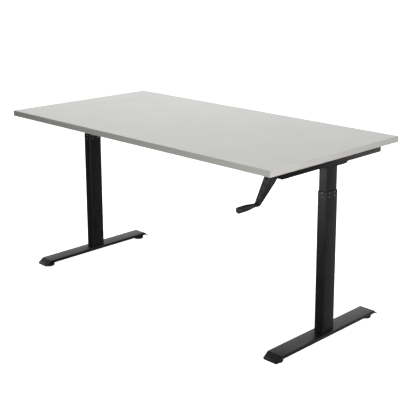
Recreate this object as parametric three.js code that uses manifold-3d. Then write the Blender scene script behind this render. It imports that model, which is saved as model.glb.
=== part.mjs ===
// Hand-crank sit-stand desk: laminated worktop on a steel frame with two telescopic T-legs.
// Millimetres, +Z up, +X along the worktop, -Y towards the user. Legs are at the right (+X) and left (-X).
import * as THREE from 'three';
import { mergeVertices } from 'three/addons/utils/BufferGeometryUtils.js';
import Module from 'manifold-3d';

const wasm = await Module();
wasm.setup();

// ---- driving dimensions ----
const gap = 0.2; // between pieces that rest on each other
const running = 0.25; // between plastic glides and the tubes they run in
const screwPlay = 0.3; // around bolts, screws and turning shafts
const steelWall = 1.5;

const top = { width: 1600, depth: 800, thickness: 25, height: 783, band: 2 };
const travel = { down: 80, up: 340 }; // of the worktop, from its drawn height
// from the worktop's edges
const inset = { leg: 60, bracketFront: 98, bracketRear: 80, footFront: 79.5, footRear: 61.5, crank: 50 };

const foot = { width: 73, height: 35, slopeRun: 29, slopeBottom: 12, plate: 3, flange: 14 };
const leveller = { padRadius: 25, padHeight: 14, studRadius: 5, inset: 13.5, nutRadius: 9 };
const footPlate = { length: 150, thickness: 4 };
const column = { width: 45, depth: 71, corner: 4, floor: 6, behindMiddle: 1, belowHead: 15 };
const collar = { height: 2.5, skirt: 42, wall: 0.8, chamfer: 0.8, corner: 2 };
const pin = { radius: 2.5, proud: 0.5, spacing: 15.5, belowRim: 3.5, halfPitch: 16.4, root: 0.5 };
const inner = { corner: 2.5, overhang: 8, glideSkirt: 36, glideLip: 4, floorRoom: 6, nutTubeRoom: 2.5 };
const bracket = { width: 60, height: 32, wall: 2 };
const head = { gearRoom: 3, wall: 3, hang: 11, behind: 70, chamfer: 15, lid: 2.5 };
const crossbar = { depth: 40, height: 25, wall: 2, halfPitch: 130 };
const boardScrew = { radius: 2.5, headRadius: 4.5, headHeight: 2.2, depth: 16, fromEnd: 81 };
const columnBolt = { radius: 4, headFlats: 13, headHeight: 5.3, halfPitch: 24 };

const shaftDrop = 23; // cross shaft and crank axis below the worktop's underside
const shaftFlats = 7; // cross shaft, across flats
const shaftHoleRadius = 7; // in the brackets' inner sides
const gear = { teeth: 20, pinionTeeth: 10, rootRoom: 4, inner: 0.72, addendum: 1.2, dedendum: 1.7 };
const tooth = { rootHalf: 1.4, tipHalf: 0.6, sunk: 0.3 };
const gearHub = { spindle: 1.2, pinion: 1.4 };
const spindle = { radius: 8, journal: 6, chamfer: 1.5, shoulderDrop: 0.5, bearing: 13, belowNut: 5.5 };
const nut = { radius: 14, height: 35, belowHead: 100, tubeRadius: 13, tubeWall: 3 };

const crank = { radius: 121, lean: THREE.MathUtils.degToRad(25), hubDepth: 42, pull: 100 };
const arm = { hubRadius: 15, endRadius: 8.5, endDepth: 14 };
const armWindow = { recess: 2.5, rim: 3.2, rib: 5, split: 0.52, land: 8 };
const grip = { length: 98, rootRadius: 8.2, endRadius: 12.5, round: 5, axle: 3, play: 0.4, capDepth: 6 };
const swell = { half: 0.25, full: 0.5, last: 0.3 }; // where along its length the grip is half and nearly full
const axleHead = { radius: 5.5, height: 3, behindArm: 4.2, blindEnd: 14 };
const rod = { radius: 4, flats: 10, headLength: 22, seat: 12 };
const hubScrew = { radius: 2.5, headRadius: 5.5, headHeight: 3, sunk: 1, length: 10 };
const sleeve = { headRoom: 1.2, wall: 2.5, hexLength: 24, journal: 4, boreSpare: 60, shoulderGap: 2 };
const block = { depth: 31, front: 0.5, room: 6.5 };
const bush = { radius: 9, flange: 12, flangeDepth: 2, behind: 2 };

// ---- worked out from them ----
const edge = top.depth / 2;
const legX = top.width / 2 - inset.leg;
const frameY = (inset.bracketFront - inset.bracketRear) / 2; // the brackets' middle
const bracketLength = top.depth - inset.bracketFront - inset.bracketRear;
const bracketFront = -edge + inset.bracketFront;
const footY = (inset.footFront - inset.footRear) / 2;
const footFlat = top.depth - inset.footFront - inset.footRear - 2 * foot.slopeRun;
const columnY = footY + column.behindMiddle;
const screwPitch = bracketLength / 2 - boardScrew.fromEnd;

const underside = top.height - top.thickness;
const roof = underside - gap; // the steel frame's highest faces
const bracketBottom = underside - bracket.height;
const headBottom = bracketBottom - head.hang;
const shaftZ = underside - shaftDrop;
const floorTop = foot.height + column.floor; // inside the column

// lowered all the way, the gearbox stops a little above the collar
const rim = headBottom - travel.down - column.belowHead - collar.height;
const columnInner = { width: column.width - 2 * steelWall, depth: column.depth - 2 * steelWall };
const glideRoom = collar.wall + 2 * running;
const tube = { width: columnInner.width - 2 * glideRoom, depth: columnInner.depth - 2 * glideRoom };
const tubeTop = headBottom - gap;
// lowered all the way, the lower glide stops a little above the column's floor
const tubeBottom = floorTop + inner.floorRoom + inner.overhang + travel.down;
const headFront = columnY - tube.depth / 2;

// raised all the way, the spindle's end still stands through the nut
const nutTop = headBottom - travel.down - nut.belowHead;
const nutBottom = nutTop - nut.height;
const spindleEnd = nutBottom - travel.up - spindle.belowNut;
const pinionRadius = shaftFlats / Math.sqrt(3) + gear.rootRoom;
const gearRadius = pinionRadius * gear.teeth / gear.pinionTeeth;
const gearCone = Math.hypot(gearRadius, pinionRadius);
const gearNose = gearRadius * gear.inner - 0.6; // how near a shaft's end comes to the apex

const crankFront = -edge + inset.crank;
const gripEnd = crankFront - gap - grip.length;
const rodFront = crankFront + rod.seat;
const blockFront = bracketFront + block.front;
const blockBack = blockFront + block.depth;
const sleeveFront = blockBack + bush.behind + block.room;
const hexEnd = sleeveFront + sleeve.hexLength;
const rodEnd = hexEnd + crank.pull; // pulled out, the rod's hexagonal head fills the sleeve's hexagon

// ---- finishes ----
const finish = {
  laminate: { color: 0xd2d3ce, roughness: 0.55, metalness: 0 },
  band: { color: 0xb9b8b3, roughness: 0.6, metalness: 0 },
  powderBlack: { color: 0x1b1b1b, roughness: 0.45, metalness: 0.3 },
  plasticBlack: { color: 0x222222, roughness: 0.6, metalness: 0 },
  steel: { color: 0x8a8c8f, roughness: 0.35, metalness: 1 },
  brass: { color: 0xb59a55, roughness: 0.4, metalness: 1 },
  nylon: { color: 0x3a3a3a, roughness: 0.5, metalness: 0 },
  castBlack: { color: 0x202020, roughness: 0.6, metalness: 0.5 },
};

// ---- shape helpers ----
function signedVolume(geometry) {
  const p = geometry.getAttribute('position');
  const index = geometry.getIndex();
  const [a, b, c] = [new THREE.Vector3(), new THREE.Vector3(), new THREE.Vector3()];
  let sum = 0;
  for (let i = 0; i < index.count; i += 3) {
    a.fromBufferAttribute(p, index.getX(i));
    b.fromBufferAttribute(p, index.getX(i + 1));
    c.fromBufferAttribute(p, index.getX(i + 2));
    sum += a.dot(b.cross(c));
  }
  return sum;
}

// positions only, shared vertices merged, faces pointing out
function closed(geometry) {
  geometry.deleteAttribute('normal');
  geometry.deleteAttribute('uv');
  const merged = mergeVertices(geometry, 1e-4);
  if (signedVolume(merged) < 0) {
    const index = merged.getIndex().array;
    for (let i = 0; i < index.length; i += 3) {
      [index[i], index[i + 1]] = [index[i + 1], index[i]];
    }
  }
  return merged;
}

function solid(geometry) {
  const g = closed(geometry);
  return new wasm.Manifold(new wasm.Mesh({
    numProp: 3,
    vertProperties: Float32Array.from(g.getAttribute('position').array),
    triVerts: Uint32Array.from(g.getIndex().array),
  }));
}

function shapeOf(body) {
  const mesh = body.getMesh();
  const g = new THREE.BufferGeometry();
  g.setAttribute('position', new THREE.BufferAttribute(Float32Array.from(mesh.vertProperties), 3));
  g.setIndex(new THREE.BufferAttribute(Uint32Array.from(mesh.triVerts), 1));
  return g;
}

const joined = (parts) => parts.reduce((body, part) => body.add(part));
const cutBy = (body, cuts) => cuts.reduce((left, cut) => left.subtract(cut), body);

// a box between two corners
function box(x0, x1, y0, y1, z0, z1) {
  const g = new THREE.BoxGeometry(x1 - x0, y1 - y0, z1 - z0);
  return g.translate((x0 + x1) / 2, (y0 + y1) / 2, (z0 + z1) / 2);
}

function roundedRect(width, depth, corner) {
  const [w, d, r] = [width / 2, depth / 2, corner];
  const s = new THREE.Shape();
  s.moveTo(-w + r, -d);
  s.lineTo(w - r, -d);
  s.absarc(w - r, -d + r, r, -Math.PI / 2, 0);
  s.lineTo(w, d - r);
  s.absarc(w - r, d - r, r, 0, Math.PI / 2);
  s.lineTo(-w + r, d);
  s.absarc(-w + r, d - r, r, Math.PI / 2, Math.PI);
  s.lineTo(-w, -d + r);
  s.absarc(-w + r, -d + r, r, Math.PI, 1.5 * Math.PI);
  return s;
}

// a shape in X and Y pushed up from z0 to z1
function prism(shape, z0, z1, curveSegments = 3) {
  const g = new THREE.ExtrudeGeometry(shape, { depth: z1 - z0, bevelEnabled: false, curveSegments });
  return g.translate(0, 0, z0);
}

function rectTube(width, depth, corner, wall, z0, z1) {
  const outer = solid(prism(roundedRect(width, depth, corner), z0, z1));
  const hollow = roundedRect(width - 2 * wall, depth - 2 * wall, Math.max(corner - wall, 0.5));
  return outer.subtract(solid(prism(hollow, z0 - 1, z1 + 1)));
}

// a round bar along z from z0 to z1
function bar(radius, z0, z1, segments = 16) {
  const g = new THREE.CylinderGeometry(radius, radius, z1 - z0, segments);
  return g.rotateX(Math.PI / 2).translate(0, 0, (z0 + z1) / 2);
}

function hexBar(flats, z0, z1) {
  return bar(flats / Math.sqrt(3), z0, z1, 6);
}

// a profile of [radius, z] points turned about z
function turned(points, segments = 16) {
  const g = new THREE.LatheGeometry(points.map(([r, z]) => new THREE.Vector2(r, z)), segments);
  return g.rotateX(Math.PI / 2);
}

function ring(outer, bore, z0, z1, segments = 20) {
  return turned([[bore, z0], [outer, z0], [outer, z1], [bore, z1], [bore, z0]], segments);
}

// shapes drawn along z, laid along another axis
const alongX = (g) => g.rotateY(Math.PI / 2);
const alongY = (g) => g.rotateX(-Math.PI / 2);

// a side outline of [y, z] points pushed from x0 to x1
function sidePrism(points, x0, x1) {
  const s = new THREE.Shape(points.map(([y, z]) => new THREE.Vector2(y, z)));
  const g = new THREE.ExtrudeGeometry(s, { depth: x1 - x0, bevelEnabled: false });
  return g.rotateY(Math.PI / 2).rotateX(Math.PI / 2).translate(x0, 0, 0);
}

const desk = new THREE.Group();

function place(parent, name, geometry, look, position = [0, 0, 0]) {
  const mesh = new THREE.Mesh(closed(geometry), new THREE.MeshStandardMaterial(finish[look]));
  mesh.name = name;
  mesh.position.set(...position);
  parent.add(mesh);
  return mesh;
}

// ---- worktop ----
function addWorktop(parent) {
  const [w, d] = [top.width / 2, top.depth / 2];
  const bandRoom = top.band + gap;
  let board = solid(box(-w + bandRoom, w - bandRoom, -d + bandRoom, d - bandRoom, underside, top.height));
  for (const [x, y] of boardScrewPlaces()) {
    const hole = bar(boardScrew.radius + screwPlay, underside - 1, underside + boardScrew.depth, 10);
    board = board.subtract(solid(hole.translate(x, y, 0)));
  }
  place(parent, 'tabletop_board', shapeOf(board), 'laminate');
  place(parent, 'edge_band_front', box(-w, w, -d, -d + top.band, underside, top.height), 'band');
  place(parent, 'edge_band_rear', box(-w, w, d - top.band, d, underside, top.height), 'band');
  const ends = [-d + bandRoom, d - bandRoom];
  place(parent, 'edge_band_right', box(w - top.band, w, ...ends, underside, top.height), 'band');
  place(parent, 'edge_band_left', box(-w, -w + top.band, ...ends, underside, top.height), 'band');
}

function boardScrewPlaces() {
  const places = [];
  for (const side of [1, -1]) {
    for (const end of [-1, 1]) {
      places.push([side * legX, frameY + end * screwPitch]);
    }
  }
  return places;
}

// ---- bevel gears: every cone points at the apex, where the shafts cross ----
// a straight bevel gear below its apex at the origin, axis z, one tooth on the +X side turned by phase
function bevelGear(teeth, radius, drop, bore, hubDepth, phase) {
  const cone = Math.hypot(radius, drop);
  const [er, ez] = [radius / cone, -drop / cone]; // along the pitch cone, away from the apex
  const [nr, nz] = [drop / cone, radius / cone]; // out of the pitch cone, towards the mating gear
  const at = (k, h) => [cone * k * er + h * k * nr, cone * k * ez + h * k * nz];
  const outer = at(1, -gear.dedendum);
  const innerEnd = at(gear.inner, -gear.dedendum);
  const back = outer[1] - hubDepth;
  const blank = turned([
    [bore, back], [outer[0], back], outer, innerEnd, [bore, innerEnd[1]], [bore, back],
  ], gear.teeth);
  const parts = [solid(blank)];
  const root = -gear.dedendum - tooth.sunk;
  for (let i = 0; i < teeth; i += 1) {
    const g = new THREE.BoxGeometry(1, 1, 1);
    const p = g.getAttribute('position');
    for (let v = 0; v < p.count; v += 1) {
      const k = p.getX(v) > 0 ? 1 : gear.inner;
      const atTip = p.getZ(v) > 0;
      const [r, z] = at(k, atTip ? gear.addendum : root);
      const half = (atTip ? tooth.tipHalf : tooth.rootHalf) * k;
      p.setXYZ(v, r, Math.sign(p.getY(v)) * half, z);
    }
    parts.push(solid(g.rotateZ(phase + i * 2 * Math.PI / teeth)));
  }
  return shapeOf(joined(parts));
}

const spindleGear = () => {
  const bore = spindle.journal + gap;
  return bevelGear(gear.teeth, gearRadius, pinionRadius, bore, gearHub.spindle, 0);
};
// the pinion's gap faces the tooth of the spindle gear under it
const pinion = (bore) => {
  const turnedHalfTooth = Math.PI / gear.pinionTeeth;
  return bevelGear(gear.pinionTeeth, pinionRadius, gearRadius, bore, gearHub.pinion, turnedHalfTooth);
};

// ---- legs ----
function footBody() {
  const [flat, tip] = [footFlat / 2, footFlat / 2 + foot.slopeRun];
  const [high, low] = [foot.height, foot.slopeBottom];
  const slope = Math.atan2(high - low, foot.slopeRun);
  const bend = foot.plate * Math.tan(slope / 2);
  const [dx, dz] = [foot.plate * Math.sin(slope), foot.plate * Math.cos(slope)];
  const under = high - foot.plate;
  const skin = sidePrism([
    [-tip, low], [-flat, high], [flat, high], [tip, low],
    [tip - dx, low - dz], [flat - bend, under], [-flat + bend, under], [-tip + dx, low - dz],
  ], -foot.width / 2, foot.width / 2);
  const flangeEnd = flat + foot.slopeRun * foot.flange / (high - low);
  const flangeLow = high - foot.flange;
  const flangeSide = [[-flangeEnd, flangeLow], [-flat, high], [flat, high], [flangeEnd, flangeLow]];
  const parts = [
    solid(skin),
    solid(sidePrism(flangeSide, -foot.width / 2, -foot.width / 2 + foot.plate)),
    solid(sidePrism(flangeSide, foot.width / 2 - foot.plate, foot.width / 2)),
  ];
  const cuts = [];
  for (const end of [-1, 1]) {
    const y = end * (flat - leveller.inset);
    const bore = leveller.studRadius + screwPlay;
    const weldNut = ring(leveller.nutRadius, bore, flangeLow, under + foot.plate / 2, 12);
    parts.push(solid(weldNut.translate(0, y, 0)));
    const hole = bar(columnBolt.radius + screwPlay, low, high + 1, 12);
    cuts.push(solid(hole.translate(0, end * columnBolt.halfPitch + column.behindMiddle, 0)));
  }
  return shapeOf(cutBy(joined(parts), cuts));
}

function addFoot(leg, side) {
  place(leg, `foot_${side}`, footBody(), 'powderBlack', [0, footY, 0]);
  const plateTop = foot.height - foot.plate - gap;
  const plateWidth = foot.width - 2 * foot.plate - 2 * gap;
  const [w, half] = [plateWidth / 2, footPlate.length / 2];
  let plate = solid(box(-w, w, -half, half, plateTop - footPlate.thickness, plateTop));
  for (const end of [-1, 1]) {
    const hole = bar(columnBolt.radius + screwPlay, 0, foot.height, 12);
    plate = plate.subtract(solid(hole.translate(0, end * columnBolt.halfPitch, 0)));
  }
  place(leg, `foot_plate_${side}`, shapeOf(plate), 'steel', [0, columnY, 0]);
  const boltSeat = plateTop - footPlate.thickness - gap;
  const boltTop = floorTop - 1;
  for (const [end, word] of [[-1, 'front'], [1, 'rear']]) {
    const bolt = solid(hexBar(columnBolt.headFlats, boltSeat - columnBolt.headHeight, boltSeat))
      .add(solid(bar(columnBolt.radius, boltSeat - 1, boltTop, 12)));
    const boltY = columnY + end * columnBolt.halfPitch;
    place(leg, `column_bolt_${side}_${word}`, shapeOf(bolt), 'steel', [0, boltY, 0]);
    const padY = footY + end * (footFlat / 2 - leveller.inset);
    place(leg, `levelling_foot_${side}_${word}`, levellingFoot(), 'plasticBlack', [0, padY, 0]);
  }
}

function levellingFoot() {
  const [r, h, s] = [leveller.padRadius, leveller.padHeight, leveller.studRadius];
  const studTop = foot.height - foot.plate - gap;
  const pad = [[0, 0], [r - 3, 0], [r, 3], [r, h - 5], [r - 4, h - 1], [s + 4, h]];
  return turned([...pad, [s, h], [s, studTop], [0, studTop]], 20);
}

function pinPlaces() {
  const places = [];
  for (const row of [0, 1]) {
    const z = rim - pin.belowRim - row * pin.spacing;
    for (const facing of [-1, 1]) {
      places.push({ axis: 'y', facing, across: 0, z });
      for (const across of [-pin.halfPitch, pin.halfPitch]) {
        places.push({ axis: 'x', facing, across, z });
      }
    }
  }
  return places;
}

// a stub through a column wall, between two distances from the column's axis
function wallStub({ axis, facing, across, z }, radius, near, far) {
  const g = bar(radius, near, far, 8);
  if (axis === 'x') {
    return solid(alongX(g).rotateZ(facing > 0 ? 0 : Math.PI).translate(0, across, z));
  }
  return solid(alongX(g).rotateZ(facing * Math.PI / 2).translate(across, 0, z));
}

function addColumn(leg, side) {
  const base = foot.height + gap;
  const shell = rectTube(column.width, column.depth, column.corner, steelWall, base, rim);
  const floorPlate = roundedRect(column.width - 1, column.depth - 1, column.corner - 0.5);
  let body = shell.add(solid(prism(floorPlate, base, floorTop)));
  for (const end of [-1, 1]) {
    const hole = bar(columnBolt.radius + screwPlay, foot.height - 1, floorTop + 1, 12);
    body = body.subtract(solid(hole.translate(0, end * columnBolt.halfPitch, 0)));
  }
  const faces = { x: column.width / 2, y: column.depth / 2 };
  for (const spot of pinPlaces()) {
    const out = faces[spot.axis];
    body = body.subtract(wallStub(spot, pin.radius + gap, out - steelWall - 1, out + 1));
  }
  place(leg, `outer_tube_${side}`, shapeOf(body), 'powderBlack', [0, columnY, 0]);

  const skirtWidth = columnInner.width - 2 * running;
  const skirtDepth = columnInner.depth - 2 * running;
  const skirtCorner = column.corner - steelWall;
  const skirtBottom = rim - collar.skirt;
  const capShape = roundedRect(column.width - 2 * collar.chamfer, column.depth - 2 * collar.chamfer,
    column.corner - collar.chamfer);
  const cap = new THREE.ExtrudeGeometry(capShape, {
    depth: collar.height - gap - 2 * collar.chamfer,
    bevelThickness: collar.chamfer,
    bevelSize: collar.chamfer,
    bevelSegments: 1,
    curveSegments: 3,
  }).translate(0, 0, rim + gap + collar.chamfer);
  const skirt = solid(prism(roundedRect(skirtWidth, skirtDepth, skirtCorner), skirtBottom, rim + 1));
  const opening = prism(roundedRect(tube.width + 2 * running, tube.depth + 2 * running, collar.corner),
    skirtBottom - 1, rim + collar.height + 1);
  let ringBody = solid(cap).add(skirt).subtract(solid(opening));
  for (const spot of pinPlaces()) {
    const out = faces[spot.axis];
    const pinRoot = out - steelWall - running - pin.root;
    ringBody = ringBody.add(wallStub(spot, pin.radius, pinRoot, out + pin.proud));
  }
  place(leg, `column_collar_${side}`, shapeOf(ringBody), 'nylon', [0, columnY, 0]);

  const innerTube = rectTube(tube.width, tube.depth, inner.corner, steelWall, tubeBottom, tubeTop);
  place(leg, `inner_tube_${side}`, shapeOf(innerTube), 'powderBlack', [0, columnY, 0]);
  const glideBottom = tubeBottom - inner.overhang;
  const glideTop = tubeBottom + inner.glideSkirt;
  const seat = roundedRect(tube.width + 2 * running, tube.depth + 2 * running, collar.corner);
  const throughWidth = 2 * (nut.tubeRadius + inner.nutTubeRoom);
  const through = roundedRect(throughWidth, tube.depth - 2 * inner.glideLip, column.corner);
  const sleeveBody = prism(roundedRect(skirtWidth, skirtDepth, skirtCorner), glideBottom, glideTop);
  const glide = cutBy(solid(sleeveBody), [
    solid(prism(seat, tubeBottom - gap, glideTop + 1)),
    solid(prism(through, glideBottom - 1, tubeBottom)),
  ]);
  place(leg, `lower_glide_${side}`, shapeOf(glide), 'nylon', [0, columnY, 0]);
}

function addLift(leg, side) {
  const axis = [0, columnY, 0];
  const nutTube = ring(nut.tubeRadius, nut.tubeRadius - nut.tubeWall, floorTop + gap, nutBottom - gap);
  place(leg, `nut_tube_${side}`, nutTube, 'steel', axis);
  const nutBody = ring(nut.radius, spindle.radius + screwPlay, nutBottom, nutTop);
  place(leg, `spindle_nut_${side}`, nutBody, 'brass', axis);
  const [r, journal, end] = [spindle.radius, spindle.journal, spindleEnd];
  const shoulder = headBottom - spindle.shoulderDrop;
  const topEnd = shaftZ - shaftFlats;
  const screw = turned([[0, end], [r - spindle.chamfer, end], [r, end + spindle.chamfer], [r, shoulder],
    [journal, shoulder], [journal, topEnd], [0, topEnd]], 16);
  place(leg, `spindle_${side}`, screw, 'steel', axis);
  place(leg, `spindle_gear_${side}`, spindleGear(), 'steel', [0, columnY, shaftZ]);
  const gearBack = shaftZ - pinionRadius - gear.dedendum * gearRadius / gearCone - gearHub.spindle;
  const bearing = ring(spindle.bearing, journal + screwPlay, headBottom + head.wall + gap, gearBack - gap);
  place(leg, `spindle_bearing_${side}`, bearing, 'steel', axis);
}

// ---- head of each leg: side bracket, gearbox ----
function addHead(leg, side) {
  const [w, front, back] = [bracket.width / 2, bracketFront, bracketFront + bracketLength];
  let channel = solid(box(-w, w, front, back, bracketBottom, roof));
  channel = channel.subtract(solid(box(-w + bracket.wall, w - bracket.wall, front - 1, back + 1,
    bracketBottom - 1, roof - bracket.wall)));
  // only the side that faces the other leg is pierced, for the cross shaft
  const inward = side === 'right' ? [-w - 1, 0] : [0, w + 1];
  const shaftHole = alongX(bar(shaftHoleRadius, ...inward, 16)).translate(0, columnY, shaftZ);
  channel = channel.subtract(solid(shaftHole));
  for (const end of [-1, 1]) {
    const y = frameY + end * screwPitch;
    const hole = bar(boardScrew.radius + screwPlay, roof - bracket.wall - 1, roof + 1, 10);
    channel = channel.subtract(solid(hole.translate(0, y, 0)));
    const seat = roof - bracket.wall - gap;
    const screw = solid(bar(boardScrew.headRadius, seat - boardScrew.headHeight, seat, 12))
      .add(solid(bar(boardScrew.radius, seat - 1, underside + boardScrew.depth - 1, 10)));
    const word = end < 0 ? 'front' : 'rear';
    place(leg, `board_screw_${side}_${word}`, shapeOf(screw), 'steel', [0, y, 0]);
  }
  place(leg, `side_bracket_${side}`, shapeOf(channel), 'powderBlack');

  const half = gearRadius + head.gearRoom + head.wall;
  const headBack = columnY + tube.depth / 2 + head.behind;
  const lidBottom = roof - bracket.wall - gap - head.lid;
  const slopeFoot = headBack - head.chamfer;
  const outline = [[headFront, headBottom], [slopeFoot, headBottom], [headBack, bracketBottom],
    [headBack, lidBottom - gap], [headFront, lidBottom - gap]];
  const cavityBottom = headBottom + head.wall;
  const room = { x: half - head.wall, front: headFront + head.wall, back: slopeFoot - head.wall };
  const shaftRoom = shaftFlats / Math.sqrt(3) + screwPlay;
  const driveRoom = sleeve.journal + screwPlay;
  const casting = cutBy(solid(sidePrism(outline, -half, half)), [
    solid(box(-room.x, room.x, room.front, room.back, cavityBottom, underside)),
    solid(bar(spindle.journal + screwPlay, headBottom - 1, cavityBottom + 1, 16).translate(0, columnY, 0)),
    solid(alongX(bar(shaftRoom, -half - 1, half + 1, 16)).translate(0, columnY, shaftZ)),
    solid(alongY(bar(driveRoom, headFront - 1, room.front + 1, 16)).translate(0, 0, shaftZ)),
  ]);
  place(leg, `gearbox_housing_${side}`, shapeOf(casting), 'castBlack');
  const lid = box(-half, half, headFront, headBack, lidBottom, lidBottom + head.lid);
  place(leg, `gearbox_lid_${side}`, lid, 'castBlack');
}

// ---- parts shared by both legs ----
function addCrossbars(parent) {
  const reach = legX - bracket.width / 2 - gap;
  const low = roof - crossbar.height;
  for (const [end, word] of [[-1, 'front'], [1, 'rear']]) {
    const y = frameY + end * crossbar.halfPitch;
    const [d, t] = [crossbar.depth / 2, crossbar.wall];
    const body = solid(box(-reach, reach, y - d, y + d, low, roof))
      .subtract(solid(box(-reach - 1, reach + 1, y - d + t, y + d - t, low + t, roof - t)));
    place(parent, `crossbar_${word}`, shapeOf(body), 'powderBlack');
  }
}

function addCrossShaft(parent) {
  const shaft = alongX(hexBar(shaftFlats, -legX - bracket.width / 2 + gearNose, legX - gearNose));
  place(parent, 'cross_shaft', shaft, 'steel', [0, columnY, shaftZ]);
  for (const [side, sign] of [['right', 1], ['left', -1]]) {
    const bevel = pinion(shaftFlats / Math.sqrt(3) + gap).rotateY(Math.PI / 2);
    place(parent, `cross_pinion_${side}`, bevel, 'steel', [sign * legX, columnY, shaftZ]);
  }
}

function addDrive(parent) {
  const shoulder = headFront - sleeve.shoulderGap;
  const boreEnd = sleeveFront + crank.pull + sleeve.boreSpare;
  const journalEnd = columnY - gearNose;
  const bore = rod.flats / Math.sqrt(3) + sleeve.headRoom;
  const [r, j] = [bore + sleeve.wall, sleeve.journal];
  const blank = turned([[0, sleeveFront], [r, sleeveFront], [r, shoulder], [j, shoulder], [j, journalEnd],
    [0, journalEnd]], 18);
  const body = cutBy(solid(blank), [
    solid(bar(bore, hexEnd, boreEnd, 18)),
    solid(hexBar(rod.flats + 2 * screwPlay, sleeveFront - 1, hexEnd + 1)),
  ]);
  place(parent, 'drive_sleeve', alongY(shapeOf(body)), 'steel', [legX, 0, shaftZ]);
  const bevel = pinion(sleeve.journal + gap).rotateZ(Math.PI / 2).rotateX(-Math.PI / 2);
  place(parent, 'drive_pinion', bevel, 'steel', [legX, columnY, shaftZ]);
}

function addCrankBearing(parent) {
  const half = bracket.width / 2 - bracket.wall - gap;
  const blockTop = roof - bracket.wall - gap;
  const hole = alongY(bar(bush.radius + running, blockFront - 1, blockBack + 1, 20));
  const body = solid(box(-half, half, blockFront, blockBack, bracketBottom + 1, blockTop))
    .subtract(solid(hole.translate(0, 0, shaftZ)));
  place(parent, 'crank_bearing_block', shapeOf(body), 'nylon', [legX, 0, 0]);
  const [bore, flange, r] = [rod.radius + screwPlay, bush.flange, bush.radius];
  const flangeBack = blockFront - gap;
  const flangeFront = flangeBack - bush.flangeDepth;
  const end = blockBack + bush.behind;
  const profile = [[bore, flangeFront], [flange, flangeFront], [flange, flangeBack], [r, flangeBack],
    [r, end], [bore, end], [bore, flangeFront]];
  place(parent, 'crank_bush', alongY(turned(profile, 20)), 'nylon', [legX, 0, shaftZ]);
}

// ---- crank: drawn hanging straight down from the hub, then leaned about the crank axis ----
function armBody() {
  const [hub, end, reach] = [arm.hubRadius, arm.endRadius, crank.radius];
  const slope = Math.asin((hub - end) / reach);
  const [front, back] = [crankFront, crankFront + crank.hubDepth];
  const outline = new THREE.Shape();
  outline.absarc(0, 0, hub, -slope, Math.PI + slope, false);
  outline.absarc(0, -reach, end, Math.PI + slope, 2 * Math.PI - slope, false);
  const flat = (shape, y0, y1) => {
    const g = new THREE.ExtrudeGeometry(shape, { depth: y1 - y0, bevelEnabled: false, curveSegments: 8 });
    return g.rotateX(Math.PI / 2).translate(0, y1, 0);
  };
  // the back tapers from the hub's full depth to the grip end
  const [thinBack, low] = [front + arm.endDepth, -reach - end];
  const past = back + 20;
  const wedge = [[back, -hub], [thinBack, low], [thinBack, low - 5], [past, low - 5], [past, -hub]];
  const cuts = [solid(sidePrism(wedge, -hub - 5, hub + 5))];
  // two recesses in the front face with a rib between them
  const widthAt = (z) => hub - armWindow.rim + (hub - end) * z / reach;
  const split = -reach * armWindow.split;
  const windows = [[-hub - armWindow.land, split], [split - armWindow.rib, -reach + end + armWindow.land]];
  for (const [z0, z1] of windows) {
    const [a, b] = [widthAt(z0), widthAt(z1)];
    const corners = [[-a, z0], [a, z0], [b, z1], [-b, z1]];
    const pane = new THREE.Shape(corners.map(([x, z]) => new THREE.Vector2(x, z)));
    cuts.push(solid(flat(pane, front - 1, front + armWindow.recess)));
  }
  const screwSeat = front + hubScrew.sunk + hubScrew.headHeight;
  cuts.push(
    solid(alongY(bar(rod.radius + gap, rodFront - gap, back + 1, 16))),
    solid(alongY(bar(hubScrew.radius + screwPlay, front - 1, back, 12))),
    solid(alongY(bar(hubScrew.headRadius + 1, front - 1, screwSeat, 16))),
    solid(alongY(bar(grip.axle + screwPlay, front - 1, back, 12)).translate(0, 0, -reach)),
  );
  return shapeOf(cutBy(solid(flat(outline, front, back)), cuts));
}

function addCrank(parent) {
  const hub = new THREE.Group();
  hub.position.set(legX, 0, shaftZ);
  hub.rotation.y = crank.lean;
  parent.add(hub);
  place(hub, 'crank_arm', armBody(), 'plasticBlack');
  const holeEnd = rodFront + hubScrew.length + 2;
  const screwHole = solid(bar(hubScrew.radius + screwPlay, rodFront - 1, holeEnd, 12));
  const rodBody = solid(bar(rod.radius, rodFront, rodEnd - rod.headLength + 1, 16))
    .add(solid(hexBar(rod.flats, rodEnd - rod.headLength, rodEnd)))
    .subtract(screwHole);
  place(parent, 'crank_rod', alongY(shapeOf(rodBody)), 'steel', [legX, 0, shaftZ]);
  const screwFront = crankFront + hubScrew.sunk;
  const headBack = screwFront + hubScrew.headHeight - gap;
  const [hr, sr, tip] = [hubScrew.headRadius, hubScrew.radius, rodFront + hubScrew.length];
  const screw = turned([[0, screwFront], [hr, screwFront], [hr, headBack], [sr, headBack],
    [sr, tip], [0, tip]], 14);
  place(hub, 'crank_hub_screw', alongY(screw), 'steel');

  const armBack = crankFront + arm.endDepth + axleHead.behindArm;
  const axleFront = gripEnd + axleHead.blindEnd;
  const axleEnd = armBack + axleHead.height;
  const [ar, ah] = [grip.axle, axleHead.radius];
  const axle = turned([[0, axleFront], [ar, axleFront], [ar, armBack], [ah, armBack],
    [ah, axleEnd], [0, axleEnd]], 14);
  place(hub, 'grip_axle', alongY(axle), 'steel', [0, 0, -crank.radius]);
  addGrip(hub);
}

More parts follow.
